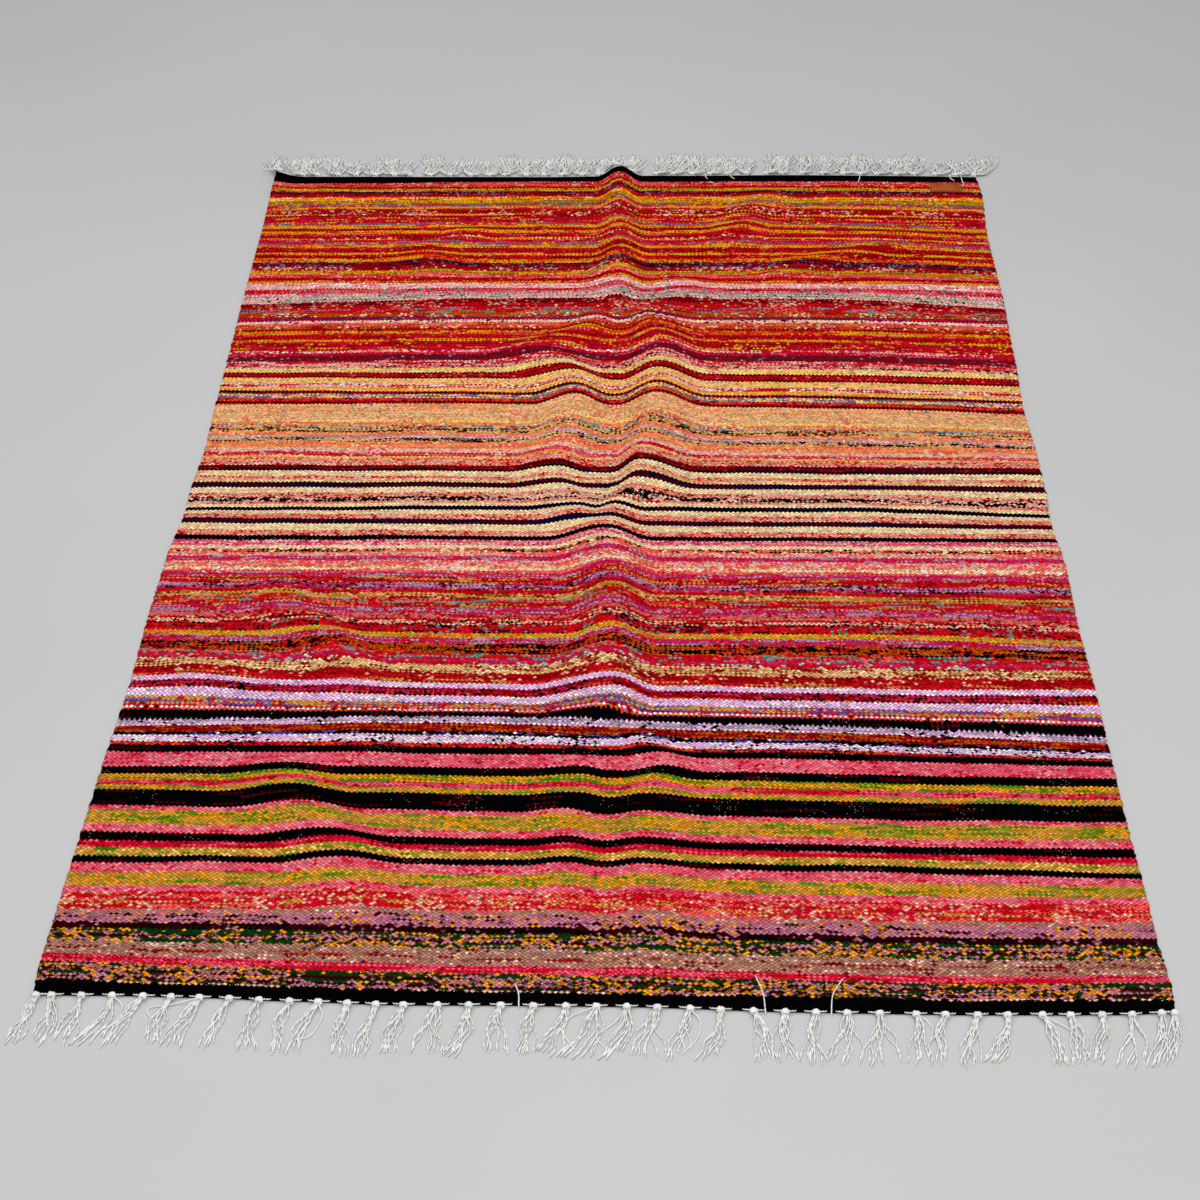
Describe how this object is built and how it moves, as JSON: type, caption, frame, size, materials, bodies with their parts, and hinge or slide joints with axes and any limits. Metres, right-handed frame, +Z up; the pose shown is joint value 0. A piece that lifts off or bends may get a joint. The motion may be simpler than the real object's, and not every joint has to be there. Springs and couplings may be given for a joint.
{
  "type": "striped rag rug",
  "caption": "flat-woven cotton rug with uneven bright stripes, lying in soft folds, knotted white fringe at both ends and a small bare leather patch",
  "frame": {"origin": "on the floor under the middle of the rug, fringe included", "axes": "+X across the stripes' length to the viewer's right, +Y along the rug to its far end, +Z up"},
  "size_m": [1.4588, 2.1798, 0.0337],
  "materials": {
    "striped_cotton": "matt",
    "fringe_cotton": "matt",
    "tan_leather": "satin"
  },
  "bodies": {
    "root": {"rug_cloth": "striped_cotton", "fringe_far": "fringe_cotton", "fringe_near": "fringe_cotton", "leather_patch": "tan_leather"}
  },
  "joints": []
}
